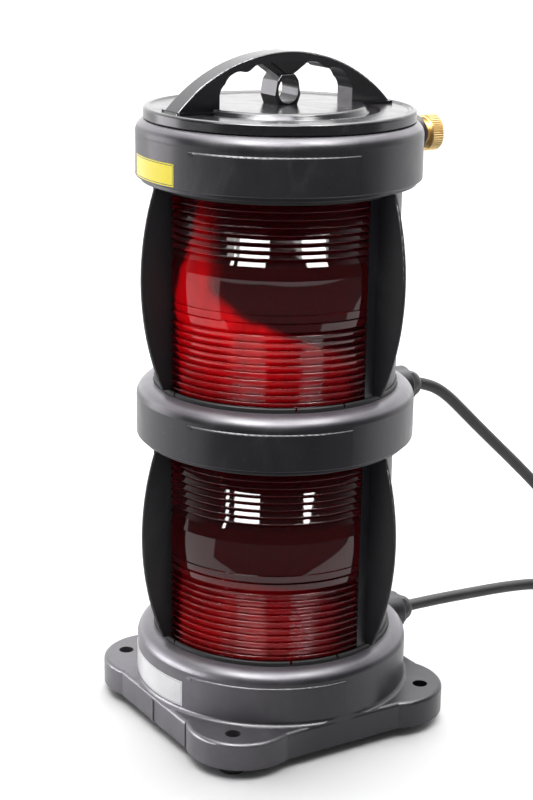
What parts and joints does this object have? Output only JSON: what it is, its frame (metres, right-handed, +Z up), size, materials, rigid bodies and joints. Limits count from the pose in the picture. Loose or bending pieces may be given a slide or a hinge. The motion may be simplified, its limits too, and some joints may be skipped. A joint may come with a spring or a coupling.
{
  "type": "navigation light",
  "caption": "Two-tier marine sector navigation light: red prism lenses, black housings with screen fins, handled lid, brass lock screw and aft cable glands.",
  "frame": {"origin": "centre of the four fixing holes on the plane of the rubber feet, on the light's axis", "axes": "+Z up the light's axis, -Y dead ahead, +X abeam to the lit side, +Y aft with the glands and the lock screw"},
  "size_m": [0.231, 0.5756, 0.4868],
  "materials": {
    "housing_plastic": "satin moulded",
    "lid_plastic": "semi-gloss moulded",
    "shell_plastic": "matte moulded",
    "red_lens": "transparent polycarbonate",
    "ring_plastic": "matte",
    "gasket_rubber": "matte",
    "cover_plastic": "matte",
    "stainless_steel": "brushed",
    "holder_moulding": "glazed off-white",
    "brass": "turned",
    "clear_glass": "clear",
    "tungsten_support": "drawn wire on a glass stem",
    "fibre_washer": "pressed fibre",
    "gland_plastic": "satin moulded",
    "core_insulation": "PVC",
    "cable_rubber": "smooth sheath",
    "terminal_moulding": "plain",
    "yellow_label": "printed film",
    "white_label": "printed film"
  },
  "bodies": {
    "housing": {"base_cover": "cover_plastic", "base_cover_gasket": "gasket_rubber", "base_cover_screws": "stainless_steel", "base_housing": "housing_plastic", "base_label": "white_label", "feet": "gasket_rubber", "lock_bush": "brass", "lower_bracket_screws": "stainless_steel", "lower_gland_nut": "gland_plastic", "lower_gland_seal": "gasket_rubber", "lower_gland_washer": "brass", "lower_lamp_bracket": "stainless_steel", "lower_lamp_cap": "brass", "lower_lamp_filament": "tungsten_support", "lower_lamp_glass": "clear_glass", "lower_lampholder": "holder_moulding", "lower_lampholder_shell": "brass", "lower_lead": "cable_rubber", "lower_lead_coil": "cable_rubber", "lower_lead_cores": "core_insulation", "lower_lead_tail": "cable_rubber", "lower_lens": "red_lens", "lower_lens_head_gasket": "gasket_rubber", "lower_lens_retaining_ring": "ring_plastic", "lower_lens_seat_gasket": "gasket_rubber", "lower_rear_shell": "shell_plastic", "lower_terminal_block": "terminal_moulding", "lower_tie_nuts": "stainless_steel", "lower_tie_rods": "stainless_steel", "mid_housing": "housing_plastic", "top_housing": "housing_plastic", "top_label": "yellow_label", "upper_bracket_screws": "stainless_steel", "upper_gland_nut": "gland_plastic", "upper_gland_seal": "gasket_rubber", "upper_gland_washer": "brass", "upper_lamp_bracket": "stainless_steel", "upper_lamp_cap": "brass", "upper_lamp_filament": "tungsten_support", "upper_lamp_glass": "clear_glass", "upper_lampholder": "holder_moulding", "upper_lampholder_shell": "brass", "upper_lead": "cable_rubber", "upper_lead_coil": "cable_rubber", "upper_lead_cores": "core_insulation", "upper_lead_tail": "cable_rubber", "upper_lens": "red_lens", "upper_lens_head_gasket": "gasket_rubber", "upper_lens_retaining_ring": "ring_plastic", "upper_lens_seat_gasket": "gasket_rubber", "upper_rear_shell": "shell_plastic", "upper_terminal_block": "terminal_moulding", "upper_tie_nuts": "stainless_steel", "upper_tie_rods": "stainless_steel"},
    "lid_seal": {"lid_gasket": "gasket_rubber"},
    "lid": {"lid": "lid_plastic"},
    "lock_washer": {"lock_washer": "fibre_washer"},
    "lock_knob": {"lock_knob": "brass"}
  },
  "joints": [
    {"name": "lid_lift", "type": "slide", "parent": "housing", "child": "lid_seal", "axis": [0, 0, 1], "range_m": [0, 0.08]},
    {"name": "lid_turn", "type": "hinge", "parent": "lid_seal", "child": "lid", "pos_m": [0, 0, 0.441], "axis": [0, 0, 1], "range_deg": [0, 30]},
    {"name": "lock_screw_travel", "type": "slide", "parent": "housing", "child": "lock_washer", "axis": [0, 1, 0], "range_m": [0, 0.006]},
    {"name": "lock_knob_turn", "type": "hinge", "parent": "lock_washer", "child": "lock_knob", "pos_m": [0, 0.128, 0.423], "axis": [0, 1, 0], "range_deg": [0, 1440]}
  ],
  "couplings": [
    {"joint": "lock_screw_travel", "follows": "lock_knob_turn", "m_per_rad": 0.0002387}
  ]
}
